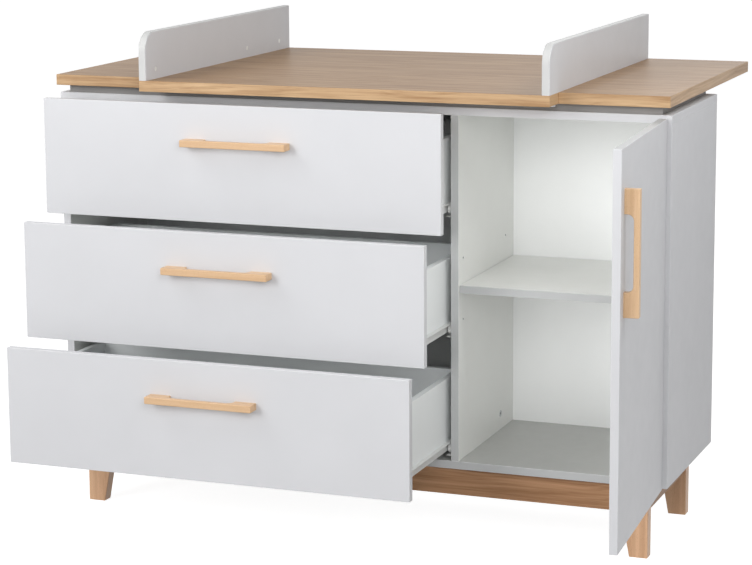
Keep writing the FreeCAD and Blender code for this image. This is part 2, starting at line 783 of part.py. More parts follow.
def roller(name, x_face, sign, y_place, z_place):
    """A nylon roller on its stud: the stud is part of the rail, the roller turns round it."""
    direction = sign + "x"
    stud = rod(name + "_stud", (x_face, y_place, z_place), direction,
               "rollerStudRadius", "rollerFromWeb + rollerWidth + rollerStudEnd")
    start = shifted((x_face, y_place, z_place), direction, "rollerFromWeb")
    wheel = rod(name + "_wheel", start, direction, "rollerRadius", "rollerWidth")
    bore_hole = rod(name + "_bore", start, direction, "rollerStudRadius + rollerPlay", "rollerWidth")
    return stud, cut(name, wheel, [bore_hole])


def box_runner(name, face_x, outward, box_front, box_low):
    """The rail under a drawer side: a lip, a web, a track on top of it and a rear roller."""
    inward = "-" if outward == "+" else "+"
    track_low = f"{box_low} + boxWebHeight - runnerSheet"
    web_x = f"({face_x} {outward} runnerSheet)"
    lip = strip(name + "_lip", web_x, inward, "boxPanelThickness + runnerSheet", box_front,
                "runnerLength", f"{box_low} - runnerSheet", "runnerSheet")
    web = strip(name + "_web", web_x, inward, "runnerSheet", box_front, "runnerLength",
                box_low, "boxWebHeight")
    track = strip(name + "_track", web_x, outward, "boxTrackWidth", box_front, "runnerLength",
                  track_low, "runnerSheet")
    roller_level = f"{box_low} - cabinetWebBelow + runnerSheet + rollerRadius + rollerPlay"
    roller_y = f"{box_front} + rearRollerPlace"
    stud, wheel = roller(name + "_roller", web_x, outward, roller_y, roller_level)
    return [fuse(name + "_rail", [lip, web, track, stud]), wheel]


def cabinet_runner(name, face_x, inward, box_low):
    """The rail on the cabinet: a web, a track at its foot and a roller at its front end."""
    start_y = "frontStandoff + runnerSetback"
    web_x = f"({face_x} {inward} runnerSheet)"
    outward = "-" if inward == "+" else "+"
    foot = f"{box_low} - cabinetWebBelow"
    web = strip(name + "_web", web_x, outward, "runnerSheet", start_y, "runnerLength", foot,
                "cabinetWebBelow + cabinetWebAbove")
    track = strip(name + "_track", web_x, inward, "cabinetTrackWidth", start_y, "runnerLength",
                  foot, "runnerSheet")
    roller_level = f"{box_low} + boxWebHeight - runnerSheet - rollerRadius - rollerPlay"
    stud, wheel = roller(name + "_roller", web_x, inward, "frontStandoff + frontRollerPlace",
                         roller_level)
    return [fuse(name + "_rail", [web, track, stud]), wheel]


def make_drawers():
    left_rails = []
    right_rails = []
    for level, row in (("upper", 2), ("middle", 1), ("lower", 0)):
        box_low = make_drawer(level, row)
        left_rails += cabinet_runner(level + "_left", f"-{inner_side}", "+", box_low)
        right_rails += cabinet_runner(level + "_right", divider_left, "-", box_low)
    keep("left_cabinet_runners", group("left_runner_group", left_rails))
    keep("right_cabinet_runners", group("right_runner_group", right_rails))


# ---- door and hinges ---------------------------------------------------------------------------
# The door is drawn closed and then swung open: it turns on the cup pins of two short links, which
# turn on the arm pins that stay with the carcass.
arm_pin = (f"({door_right} - armPinFromEdge)", "(-armPinForward)")
cup_pin = (f"({door_right} - cupPinFromEdge)", "(-cupPinForward)")
door_right_value = sheet.get("carcassWidth") / 2 - sheet.get("frontSideInset")
arm_pin_point = FreeCAD.Vector(
    door_right_value - sheet.get("armPinFromEdge"), -sheet.get("armPinForward"), 0)
cup_pin_point = FreeCAD.Vector(
    door_right_value - sheet.get("cupPinFromEdge"), -sheet.get("cupPinForward"), 0)
link_turn = FreeCAD.Placement(
    FreeCAD.Vector(), FreeCAD.Rotation(directions["+z"], -sheet.get("linkSwing")), arm_pin_point)
door_turn = FreeCAD.Placement(
    FreeCAD.Vector(), FreeCAD.Rotation(directions["+z"], sheet.get("doorTurnOnLink")), cup_pin_point)
link_opened = link_turn
door_opened = link_turn.multiply(door_turn)
fork = "(linkHalfHeight + hingeFitGap)"


def hinge_cup(name, level):
    """A cup with a flange, let into the door, with two ears that hold the cup pin."""
    centre_x = f"({door_right} - cupCentreInset)"
    face = "-frontStandoff"
    shell = rod(name + "_shell", (centre_x, face, level), "-y", "cupRadius", "cupDepth")
    flange = block(
        name + "_flange",
        (f"{centre_x} - cupFlangeWidth / 2", face, f"{level} - cupFlangeHeight / 2"),
        ("cupFlangeWidth", "cupSheet", "cupFlangeHeight"))
    hollow = rod(name + "_hollow", (centre_x, "0", level), "-y",
                 "cupHollowRadius", "cupDepth + frontStandoff - cupSheet")
    pressed = cut(name + "_pressed", fuse(name + "_blank", [shell, flange]), [hollow])
    pin_x, pin_y = cup_pin
    ears = []
    for sign in ("+", "-"):
        low = f"{level} + {fork}" if sign == "+" else f"{level} - {fork} - cupEarThickness"
        corner = (f"{pin_x} - linkCupEyeRadius", f"{face} - cupDepth + cupSheet / 2", low)
        deep = "cupDepth + frontStandoff - cupSheet / 2 - cupPinForward + linkCupEyeRadius"
        size = ("2 * linkCupEyeRadius", deep, "cupEarThickness")
        ears.append(block(f"{name}_ear_{len(ears)}", corner, size))
    pin = rod(name + "_pin", (pin_x, pin_y, f"{level} - {fork} - 1"), "+z",
              "hingePinRadius", f"2 * {fork} + 2")
    bore(["door_panel"], (centre_x, "0", level), "-y", "cupRadius",
         "cupDepth + frontStandoff + holeClearance")
    return fuse(name, [pressed, pin] + ears)


def hinge_arm(name, level):
    """An arm on a mounting plate on the side panel, with a fork that holds the arm pin."""
    pin_x, pin_y = arm_pin
    half = f"({fork} + hingeEarThickness)"
    bar = block(name + "_bar", (f"{pin_x} - armEyeRadius", pin_y, f"{level} - {half}"),
                ("2 * armEyeRadius", "armLength + armPinForward", f"2 * {half}"))
    nose = rod(name + "_nose", (pin_x, pin_y, f"{level} - {half}"), "+z", "armEyeRadius",
               f"2 * {half}")
    slot = block(name + "_slot",
                 (f"{pin_x} - 2 * armEyeRadius", f"{pin_y} - 2 * armEyeRadius", f"{level} - {fork}"),
                 ("4 * armEyeRadius", "3 * armEyeRadius + 0.4", f"2 * {fork}"))
    forked = cut(name + "_forked", fuse(name + "_blank", [bar, nose]), [slot])
    pin = rod(name + "_pin", (pin_x, pin_y, f"{level} - {fork} - 1"), "+z",
              "hingePinRadius", f"2 * {fork} + 2")
    saddle_x = f"({pin_x} + armEyeRadius)"
    plate_x = f"({inner_side} - hingePlateThickness)"
    saddle = block(name + "_saddle",
                   (f"{saddle_x} - 1", "hingePlateFront", f"{level} - hingeSaddleHeight / 2"),
                   (f"{plate_x} - {saddle_x} + 1", "hingePlateDepth", "hingeSaddleHeight"))
    plate = block(name + "_plate",
                  (plate_x, "hingePlateFront", f"{level} - hingePlateHeight / 2"),
                  ("hingePlateThickness", "hingePlateDepth", "hingePlateHeight"))
    return fuse(name, [forked, pin, saddle, plate])


def hinge_link(name, level):
    """A bowed link from the arm pin to the cup pin. The bow passes the rim of the cup."""
    pin_x, pin_y = arm_pin
    reach = FreeCAD.Vector(cup_pin_point - arm_pin_point)
    low = f"{level} - linkHalfHeight"
    tall = "2 * linkHalfHeight"
    arm_eye = rod(name + "_arm_eye", (pin_x, pin_y, low), "+z", "linkArmEyeRadius", tall)
    cup_eye = rod(name + "_cup_eye", cup_pin + (low,), "+z", "linkCupEyeRadius", tall)
    # places along the line of pins, as a share of its length, and off it, in millimetres
    bow = ((0.0, -1.2), (0.69, -4.15), (0.73, -3.9), (0.96, 0.5), (1.0, -1.9),
           (0.785, -6.0), (0.69, -6.2), (0.0, -3.3))
    length = reach.Length
    along = reach * (1 / length)
    aside = FreeCAD.Vector(-along.y, along.x, 0)
    corners = []
    for share, off in bow:
        corner = arm_pin_point + along * (share * length) + aside * off
        corners.append((f"{corner.x:.3f}", f"{corner.y:.3f}"))
    strap = doc.addObject("PartDesign::Body", name + "_strap")
    pad(strap, outline(strap, "XY_Plane", corners), tall)
    place(strap, ("0", "0", low))
    solid = fuse(name + "_blank", [arm_eye, cup_eye, strap])
    bores = []
    for tag, point in (("arm", arm_pin), ("cup", cup_pin)):
        bores.append(rod(f"{name}_{tag}_bore", point + (f"{low} - 1",), "+z",
                         "hingePinRadius + hingePinClearance", f"{tall} + 2"))
    return cut(name, solid, bores)


def make_door():
    cups = [hinge_cup(row + "_cup", level) for row, level in hinge_levels.items()]
    arms = [hinge_arm(row + "_arm", level) for row, level in hinge_levels.items()]
    links = [hinge_link(row + "_link", level) for row, level in hinge_levels.items()]
    handle_x = f"({door_left} + doorHandleInset)"
    handle_z = f"(frontBottom + {door_height} - doorHandleDrop)"
    screws = handle_screws("door_screws", (handle_x, handle_z), front_face, "door_panel",
                           "door_handle", across="z")
    size = (f"{door_right} - {door_left}", "frontThickness", door_height)
    panel = board("door_board", (door_left, front_face, "frontBottom"), size, "frontEase")
    grip = handle("door_handle_body")
    grip.Placement = FreeCAD.Placement(
        FreeCAD.Vector(), FreeCAD.Rotation(directions["+x"], directions["+z"]))
    place(grip, (handle_x, front_face, handle_z))
    keep("door_panel", panel)
    keep("door_handle", grip)
    keep("door_handle_screws", screws)
    keep("hinge_cups", group("hinge_cup_group", cups))
    keep("hinge_links", group("hinge_link_group", links))
    keep("hinge_arms", group("hinge_arm_group", arms))
    for label in ("door_panel", "door_handle", "door_handle_screws", "hinge_cups"):
        nodes[label].Placement = door_opened
    nodes["hinge_links"].Placement = link_opened


# ---- build, check and write --------------------------------------------------------------------
joint_carcass()
joint_top()
joint_legs()
make_carcass()
make_shelf()
make_top()
make_legs()
make_plinth()
make_drawers()
make_door()
for fastener, members in fasteners.items():
    keep(fastener, group(fastener + "_group", members))
doc.recompute()

for feature in doc.Objects:
    if "Invalid" in feature.State or "Error" in feature.State:
        raise RuntimeError(f"{feature.Label} failed: {feature.State}")
for label, piece in nodes.items():
    shape = piece.Shape
    if shape.isNull() or not shape.isValid() or not shape.Solids or shape.Volume <= 0:
        raise RuntimeError(f"{label} has no valid solid")
for label, piece in nodes.items():
    shape = piece.Shape
    shape.exportStep(f"parts/{label}.step")
    low = [round(v, 1) for v in (shape.BoundBox.XMin, shape.BoundBox.YMin, shape.BoundBox.ZMin)]
    high = [round(v, 1) for v in (shape.BoundBox.XMax, shape.BoundBox.YMax, shape.BoundBox.ZMax)]
    print(f"{label}: {len(shape.Solids)} solid(s), {shape.Volume / 1000:.1f} cm3, {low} to {high}")
print(f"{len(nodes)} nodes; cup pin at {link_opened.multVec(cup_pin_point)}")
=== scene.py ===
import json
import math
import bmesh
import bpy
from mathutils import Matrix, Vector


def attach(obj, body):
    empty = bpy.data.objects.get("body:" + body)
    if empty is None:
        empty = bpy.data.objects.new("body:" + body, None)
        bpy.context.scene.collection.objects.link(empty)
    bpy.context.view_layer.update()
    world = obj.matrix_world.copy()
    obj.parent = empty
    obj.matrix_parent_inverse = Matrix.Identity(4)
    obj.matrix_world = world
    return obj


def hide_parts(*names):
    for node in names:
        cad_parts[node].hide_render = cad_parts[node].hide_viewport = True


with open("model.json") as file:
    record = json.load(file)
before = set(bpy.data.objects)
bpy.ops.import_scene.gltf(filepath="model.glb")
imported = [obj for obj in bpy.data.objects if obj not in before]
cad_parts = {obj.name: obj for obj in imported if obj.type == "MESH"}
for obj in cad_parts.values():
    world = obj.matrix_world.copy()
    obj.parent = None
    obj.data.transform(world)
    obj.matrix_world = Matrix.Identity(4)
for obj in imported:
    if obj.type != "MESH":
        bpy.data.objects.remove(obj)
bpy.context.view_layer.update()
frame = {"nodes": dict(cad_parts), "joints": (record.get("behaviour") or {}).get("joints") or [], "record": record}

cadNodes = frame["nodes"]
joints = {joint["name"]: joint for joint in frame["joints"]}
mm = 0.001
print("frame loaded:", len(cadNodes), "nodes")


def turnAbout(point, degrees):   # about an upright line through a point
    there = Matrix.Translation(Vector(point))
    return there @ Matrix.Rotation(math.radians(degrees), 4, "Z") @ there.inverted()


doorJoint = joints["door_swing"]
linkJoint = joints["hinge_link_swing"]
coupling = frame["record"]["behaviour"]["couplings"][0]
doorClosing = doorJoint["range_deg"][0]
linkClosing = doorClosing * coupling["ratio"]
# shut, the door has turned back about the cup pins, then with the links about the arm pins
doorShut = turnAbout(linkJoint["pos_m"], linkClosing) @ turnAbout(doorJoint["pos_m"], doorClosing)
doorOpen = doorShut.inverted()
doorAngle = -(doorClosing + linkClosing)   # degrees that the door stands open


# node helpers
def addNode(tree, kind, **settings):
    node = tree.nodes.new(kind)
    for name, value in settings.items():
        setattr(node, name, value)
    return node


def feed(tree, socket, source):   # a socket takes a link or a plain value
    if isinstance(source, bpy.types.NodeSocket):
        tree.links.new(source, socket)
    else:
        socket.default_value = source


def mathStep(tree, operation, first, second=0.0):   # ABSOLUTE reads the first alone
    node = addNode(tree, "ShaderNodeMath", operation=operation)
    feed(tree, node.inputs[0], first)
    feed(tree, node.inputs[1], second)
    return node.outputs[0]


def vectorStep(tree, operation, first, second):
    node = addNode(tree, "ShaderNodeVectorMath", operation=operation)
    feed(tree, node.inputs[0], first)
    feed(tree, node.inputs[1], second)
    return node.outputs[0]


def scaled(tree, value, share):
    return mathStep(tree, "MULTIPLY", value, share)


def weighted(tree, first, second, shares):
    return mathStep(tree, "ADD", scaled(tree, first, shares[0]), scaled(tree, second, shares[1]))


def noise(tree, vector, scale=1.0, detail=2.0, roughness=0.5, distortion=0.0):
    node = addNode(tree, "ShaderNodeTexNoise")
    feed(tree, node.inputs["Vector"], vector)
    node.inputs["Scale"].default_value = scale
    node.inputs["Detail"].default_value = detail
    node.inputs["Roughness"].default_value = roughness
    node.inputs["Distortion"].default_value = distortion
    return node.outputs[0]


def stretchedNoise(tree, vector, stretch, **settings):
    return noise(tree, vectorStep(tree, "MULTIPLY", vector, stretch), **settings)


def remap(tree, value, fromMin, fromMax, toMin=0.0, toMax=1.0, smooth=False):
    node = addNode(tree, "ShaderNodeMapRange")
    node.interpolation_type = "SMOOTHSTEP" if smooth else "LINEAR"
    for socket, source in zip(node.inputs[:5], (value, fromMin, fromMax, toMin, toMax)):
        feed(tree, socket, source)
    return node.outputs[0]


def blendColor(tree, factor, first, second, blend="MIX"):
    node = addNode(tree, "ShaderNodeMix", data_type="RGBA", blend_type=blend)
    feed(tree, node.inputs[0], factor)
    feed(tree, node.inputs[6], first)
    feed(tree, node.inputs[7], second)
    return node.outputs[2]


def bump(tree, height, distance, strength):
    node = addNode(tree, "ShaderNodeBump")
    node.inputs["Strength"].default_value = strength
    node.inputs["Distance"].default_value = distance
    feed(tree, node.inputs["Height"], height)
    return node.outputs[0]


def separate(tree, vector):
    node = addNode(tree, "ShaderNodeSeparateXYZ")
    feed(tree, node.inputs[0], vector)
    return node.outputs


def rotated(tree, vector, degrees):   # degrees about X, Y and Z
    node = addNode(tree, "ShaderNodeMapping")
    node.inputs["Rotation"].default_value = [math.radians(angle) for angle in degrees]
    feed(tree, node.inputs["Vector"], vector)
    return node.outputs[0]


def rgba(color):
    return (*color, 1.0)


# shader groups: each is an effect that several materials share
def newGroup(name, inputs, outputs):
    tree = bpy.data.node_groups.new(name, "ShaderNodeTree")
    for label, kind in inputs.items():
        tree.interface.new_socket(label, in_out="INPUT", socket_type=kind)
    for label in outputs:
        tree.interface.new_socket(label, in_out="OUTPUT", socket_type="NodeSocketFloat")
    given = tree.nodes.new("NodeGroupInput").outputs
    return tree, given, tree.nodes.new("NodeGroupOutput").inputs


rubValues = {"ragged": {"scale": 90, "detail": 3}, "raggedRange": (0.3, 0.7), "reach": (0.5, 1.4)}


def makeEdgeRub():   # 1 at the edges of a board, falling off within the width, from its box corners
    inputs = {"Vector": "NodeSocketVector", "Low": "NodeSocketVector", "High": "NodeSocketVector",
              "Width": "NodeSocketFloat"}
    tree, given, result = newGroup("edgeRub", inputs, ["Edge"])
    fromLow = vectorStep(tree, "SUBTRACT", given["Vector"], given["Low"])
    toHigh = vectorStep(tree, "SUBTRACT", given["High"], given["Vector"])
    x, y, z = separate(tree, vectorStep(tree, "MINIMUM", fromLow, toHigh))
    nearer = mathStep(tree, "MINIMUM", x, y)
    farther = mathStep(tree, "MAXIMUM", x, y)
    # the middle one of the three distances is small only near an edge
    middle = mathStep(tree, "MAXIMUM", nearer, mathStep(tree, "MINIMUM", farther, z))
    ragged = noise(tree, given["Vector"], **rubValues["ragged"])
    reach = scaled(tree, given["Width"],
                   remap(tree, ragged, *rubValues["raggedRange"], *rubValues["reach"]))
    share = mathStep(tree, "DIVIDE", middle, reach)
    feed(tree, result["Edge"], remap(tree, share, 0, 1, 1, 0, smooth=True))
    return tree


foilValues = {"tone": {"scale": 7, "detail": 3}, "sheen": {"scale": 38, "detail": 4},
              "pebble": {"scale": 1400, "detail": 1}, "swell": {"scale": 240, "detail": 1},
              "range": (0.3, 0.7), "swellShare": 0.6}


def makeFoilFace():   # the fine pebble of a melamine or foil face
    inputs = {"Vector": "NodeSocketVector"}
    tree, given, result = newGroup("foilFace", inputs, ["Tone", "Sheen", "Height"])
    vector = given["Vector"]
    tone = noise(tree, vector, **foilValues["tone"])
    feed(tree, result["Tone"], remap(tree, tone, *foilValues["range"]))
    sheen = noise(tree, vector, **foilValues["sheen"])
    feed(tree, result["Sheen"], remap(tree, sheen, *foilValues["range"]))
    pebble = noise(tree, vector, **foilValues["pebble"])
    swell = scaled(tree, noise(tree, vector, **foilValues["swell"]), foilValues["swellShare"])
    feed(tree, result["Height"], mathStep(tree, "ADD", pebble, swell))
    return tree


oakValues = {"drift": {"stretch": (2.2, 9, 9), "detail": 2}, "driftWidth": 0.05,
             "bands": {"stretch": (0.9, 26, 26), "detail": 3, "roughness": 0.55},
             "streaks": {"stretch": (3.4, 130, 130), "detail": 4, "roughness": 0.6},
             "fine": {"stretch": (14, 620, 620), "detail": 2},
             "toneShares": (0.36, 0.64), "toneRange": (0.36, 0.64),
             "poreFromFine": (0.56, 0.72), "poreFromStreaks": (0.62, 0.4), "streakHeight": 0.4}


def makeOakGrain():   # streaks, cathedral bands and pores, lengthwise along X
    inputs = {"Vector": "NodeSocketVector"}
    tree, given, result = newGroup("oakGrain", inputs, ["Tone", "Pore", "Height"])
    vector = given["Vector"]
    drift = stretchedNoise(tree, vector, **oakValues["drift"])
    drift = scaled(tree, drift, oakValues["driftWidth"])
    shift = addNode(tree, "ShaderNodeCombineXYZ")
    feed(tree, shift.inputs[1], drift)
    feed(tree, shift.inputs[2], drift)
    bent = vectorStep(tree, "ADD", vector, shift.outputs[0])
    bands = stretchedNoise(tree, bent, **oakValues["bands"])
    streaks = stretchedNoise(tree, bent, **oakValues["streaks"])
    fine = stretchedNoise(tree, vector, **oakValues["fine"])
    tone = weighted(tree, bands, streaks, oakValues["toneShares"])
    feed(tree, result["Tone"], remap(tree, tone, *oakValues["toneRange"]))
    pore = scaled(tree, remap(tree, fine, *oakValues["poreFromFine"]),
                  remap(tree, streaks, *oakValues["poreFromStreaks"]))
    feed(tree, result["Pore"], pore)
    raised = scaled(tree, streaks, oakValues["streakHeight"])
    feed(tree, result["Height"], mathStep(tree, "SUBTRACT", raised, pore))
    return tree


beechValues = {"rings": {"stretch": (2.5, 70, 70), "detail": 3, "distortion": 0.3},
               "fibres": {"stretch": (30, 900, 900), "detail": 2},
               "fleckStretch": (150, 620, 620), "fleckRange": (0.10, 0.32),
               "toneShares": (0.7, 0.3), "toneRange": (0.35, 0.65),
               "fibreHeight": 0.5, "fleckDepth": 0.4}


def makeBeechGrain():   # even grain with the short dark flecks of beech, lengthwise along X
    inputs = {"Vector": "NodeSocketVector"}
    tree, given, result = newGroup("beechGrain", inputs, ["Tone", "Fleck", "Height"])
    vector = given["Vector"]
    rings = stretchedNoise(tree, vector, **beechValues["rings"])
    fibres = stretchedNoise(tree, vector, **beechValues["fibres"])
    slender = vectorStep(tree, "MULTIPLY", vector, beechValues["fleckStretch"])
    cells = addNode(tree, "ShaderNodeTexVoronoi", feature="F1")
    feed(tree, cells.inputs["Vector"], slender)
    cells.inputs["Scale"].default_value = 1.0
    fleck = remap(tree, cells.outputs["Distance"], *beechValues["fleckRange"], 1, 0, smooth=True)
    tone = weighted(tree, rings, fibres, beechValues["toneShares"])
    feed(tree, result["Tone"], remap(tree, tone, *beechValues["toneRange"]))
    feed(tree, result["Fleck"], fleck)
    raised = scaled(tree, fibres, beechValues["fibreHeight"])
    sunk = scaled(tree, fleck, beechValues["fleckDepth"])
    feed(tree, result["Height"], mathStep(tree, "SUBTRACT", raised, sunk))
    return tree


steelValues = {"lineDetail": 3, "cloud": {"scale": 60, "detail": 3},
               "scuff": {"scale": 420, "detail": 4}, "scuffRange": (0.58, 0.72),
               "toneShares": (0.5, 0.5), "scuffDepth": 0.3}


def makeRolledMetal():   # drawing lines and small scuffs of plated or coated sheet steel
    inputs = {"Vector": "NodeSocketVector", "Lines": "NodeSocketVector"}
    tree, given, result = newGroup("rolledMetal", inputs, ["Tone", "Scuff", "Height"])
    vector = given["Vector"]
    lines = stretchedNoise(tree, vector, given["Lines"], detail=steelValues["lineDetail"])
    cloud = noise(tree, vector, **steelValues["cloud"])
    scuff = remap(tree, noise(tree, vector, **steelValues["scuff"]), *steelValues["scuffRange"])
    feed(tree, result["Tone"], weighted(tree, lines, cloud, steelValues["toneShares"]))
    feed(tree, result["Scuff"], scuff)
    sunk = scaled(tree, scuff, steelValues["scuffDepth"])
    feed(tree, result["Height"], mathStep(tree, "SUBTRACT", lines, sunk))
    return tree


edgeRub = makeEdgeRub()
foilFace = makeFoilFace()
oakGrain = makeOakGrain()
beechGrain = makeBeechGrain()
rolledMetal = makeRolledMetal()
print("shader groups made")


# materials
def newMaterial(name, turn=0.0, specular=0.5):   # turn: degrees that the piece is turned about Z
    material = bpy.data.materials.new(name)
    material.use_nodes = True
    tree = material.node_tree
    shader = tree.nodes["Principled BSDF"]
    shader.inputs["Specular IOR Level"].default_value = specular
    coords = addNode(tree, "ShaderNodeTexCoord").outputs["Object"]
    return material, tree, shader, rotated(tree, coords, (0, 0, -turn))


def finishSurface(tree, shader, color, roughness, height, look):
    feed(tree, shader.inputs["Base Color"], color)
    feed(tree, shader.inputs["Roughness"], roughness)
    feed(tree, shader.inputs["Normal"], bump(tree, height, look["bump"], look["relief"]))


def useGroup(tree, group, **inputs):
    node = addNode(tree, "ShaderNodeGroup", node_tree=group)
    for name, source in inputs.items():
        feed(tree, node.inputs[name], source)
    return node.outputs


def turnedBox(node, turn=0.0):   # the corners of a board, measured square to its own sides
    back = Matrix.Rotation(math.radians(-turn), 4, "Z")
    corners = [back @ vertex.co for vertex in cadNodes[node].data.vertices]
    low = Vector([min(corner[axis] for corner in corners) for axis in range(3)])
    high = Vector([max(corner[axis] for corner in corners) for axis in range(3)])
    return low, high


def dress(node, material):
    for slot in cadNodes[node].material_slots:
        slot.material = material


boardSpecular = 0.3
boardLooks = {   # rub: how far the wear reaches in from an edge
    "grey": {"face": (0.664, 0.667, 0.688), "shade": (0.645, 0.648, 0.668),
             "edge": (0.70, 0.70, 0.72), "rub": 1.3 * mm,
             "gloss": (0.40, 0.50), "bump": 0.06 * mm, "relief": 0.5},
    # inside and back: pale faces, partly the boards' real pale inner side and partly painted light that lifts the
    # cupboard's inside
    "inside": {"face": (0.835, 0.841, 0.818), "shade": (0.808, 0.814, 0.792),
               "edge": (0.75, 0.75, 0.74), "rub": 1.0 * mm,
               "gloss": (0.30, 0.40), "bump": 0.05 * mm, "relief": 0.5},
    "back": {"face": (0.900, 0.910, 0.905), "shade": (0.875, 0.886, 0.882),
             "edge": (0.62, 0.52, 0.42), "rub": 0.6 * mm,
             "gloss": (0.30, 0.40), "bump": 0.05 * mm, "relief": 0.5},
    "spacer": {"face": (0.270, 0.262, 0.256), "shade": (0.245, 0.238, 0.232),
               "edge": (0.32, 0.31, 0.31), "rub": 1.0 * mm,
               "gloss": (0.45, 0.55), "bump": 0.06 * mm, "relief": 0.5},
    "white": {"face": (0.870, 0.890, 0.895), "shade": (0.840, 0.862, 0.868),
              "edge": (0.86, 0.86, 0.86), "rub": 1.0 * mm,
              "gloss": (0.32, 0.42), "bump": 0.04 * mm, "relief": 0.5},
}
# painted shade: the base panel's lining inside the cupboard, darker than the rest of the lining
shadedCupboardFloor = {"face": (0.530, 0.534, 0.518), "shade": (0.508, 0.512, 0.496)}
drawers = ("upper", "middle", "lower")
boardNodes = {
    "grey": ["left_side_panel", "right_side_panel", "carcass_top_panel", "base_panel",
             "left_guard", "right_guard", "door_panel",
             "upper_drawer_front", "middle_drawer_front", "lower_drawer_front"],
    "inside": ["centre_divider", "shelf"],
    "back": ["back_panel"],
    "spacer": ["spacer_front_rail", "spacer_back_rail", "spacer_side_rails"],
    "white": [f"{drawer}_drawer_{part}" for drawer in drawers
              for part in ("left_side", "right_side", "back", "bottom")],
}
turned = {"door_panel": doorAngle}
doorInner = Matrix.Rotation(math.radians(doorAngle), 4, "Z") @ Vector((0, 1, 0))
inward = {   # the side of a board that takes the pale lining inside the dresser, partly its real pale side and partly painted light; on the base panel it is painted shade
    "left_side_panel": (1, 0, 0), "right_side_panel": (-1, 0, 0), "carcass_top_panel": (0, 0, -1),
    "base_panel": (0, 0, 1), "door_panel": doorInner, "upper_drawer_front": (0, 1, 0),
    "middle_drawer_front": (0, 1, 0), "lower_drawer_front": (0, 1, 0)}
darkenedEdges = [   # darker strips on the edges that face a direction; on the front edges of divider, shelf and base they are painted shade
    {"nodes": ["centre_divider", "shelf", "base_panel"], "facing": (0, -1, 0),
     "color": (0.520, 0.528, 0.530)},
    {"nodes": ["door_panel"], "facing": (0, 0, 1), "color": (0.440, 0.444, 0.448)},
    {"nodes": ["left_guard", "right_guard"], "facing": (0, -1, 0), "color": (0.585, 0.588, 0.582)},
    {"nodes": ["left_guard", "right_guard"], "facing": (0, 0, 1), "color": (0.560, 0.563, 0.558)},
]
squareOn = 0.7   # cosine above which a surface counts as facing a direction


def facing(tree, direction):   # 1 where the surface faces a direction of the object at rest
    normal = addNode(tree, "ShaderNodeTexCoord").outputs["Normal"]
    node = addNode(tree, "ShaderNodeVectorMath", operation="DOT_PRODUCT")
    feed(tree, node.inputs[0], normal)
    feed(tree, node.inputs[1], direction)
    return mathStep(tree, "GREATER_THAN", node.outputs["Value"], squareOn)


def boardMaterial(node, look):
    turn = turned.get(node, 0.0)
    material, tree, shader, vector = newMaterial(node + "_face", turn, boardSpecular)
    low, high = turnedBox(node, turn)
    edge = useGroup(tree, edgeRub, Vector=vector, Low=low, High=high, Width=look["rub"])["Edge"]
    foil = useGroup(tree, foilFace, Vector=vector)
    face = blendColor(tree, foil["Tone"], rgba(look["shade"]), rgba(look["face"]))
    if node in inward:
        # the base panel's lining is painted shade, darker than the pale lining elsewhere
        pale = shadedCupboardFloor if node == "base_panel" else boardLooks["inside"]
        lining = blendColor(tree, foil["Tone"], rgba(pale["shade"]), rgba(pale["face"]))
        face = blendColor(tree, facing(tree, inward[node]), face, lining)
    # painted shade on the front edges of divider, shelf and base; plain darkening on the door's top and the
    # guards' front and top edges
    for darkStrip in darkenedEdges:
        if node in darkStrip["nodes"]:
            strip = facing(tree, darkStrip["facing"])
            face = blendColor(tree, strip, face, rgba(darkStrip["color"]))
    color = blendColor(tree, edge, face, rgba(look["edge"]))
    roughness = remap(tree, foil["Sheen"], 0, 1, *look["gloss"])
    finishSurface(tree, shader, color, roughness, foil["Height"], look)
    return material


for finish, members in boardNodes.items():
    for member in members:
        dress(member, boardMaterial(member, boardLooks[finish]))
print("boards finished:", sum(len(members) for members in boardNodes.values()))


# the oak decor of the top and the wood decor of the plinth
oakSurface = {"specular": 0.15, "rub": 1.1 * mm, "rubShare": 0.35, "poreShare": 0.6}
oakLooks = {
    "top": {"dark": (0.380, 0.225, 0.115), "light": (0.650, 0.450, 0.265),
            # upper: painted shade, multiplied into the face that looks up
            "pore": (0.26, 0.145, 0.07), "upper": (0.59, 0.53, 0.45),
            "gloss": (0.38, 0.52), "bump": 0.12 * mm, "relief": 0.35},
    "plinth": {"dark": (0.300, 0.152, 0.074), "light": (0.520, 0.300, 0.168),
               "pore": (0.19, 0.09, 0.045),
               "gloss": (0.42, 0.56), "bump": 0.12 * mm, "relief": 0.35},
}
oakNodes = {
    "top": ["changing_board", "left_top_board", "right_top_board", "rear_batten"],
    "plinth": ["front_plinth_rail", "rear_plinth_rail", "left_plinth_rail", "right_plinth_rail"],
}


def endsAlongY(tree, vector):   # the banding on an end that faces X has its grain along Y
    normal = separate(tree, addNode(tree, "ShaderNodeTexCoord").outputs["Normal"])
    facesX = mathStep(tree, "GREATER_THAN", mathStep(tree, "ABSOLUTE", normal[0]), squareOn)
    node = addNode(tree, "ShaderNodeMix", data_type="VECTOR")
    feed(tree, node.inputs[0], facesX)
    feed(tree, node.inputs[4], vector)
    feed(tree, node.inputs[5], rotated(tree, vector, (0, 0, 90)))
    return node.outputs[1]


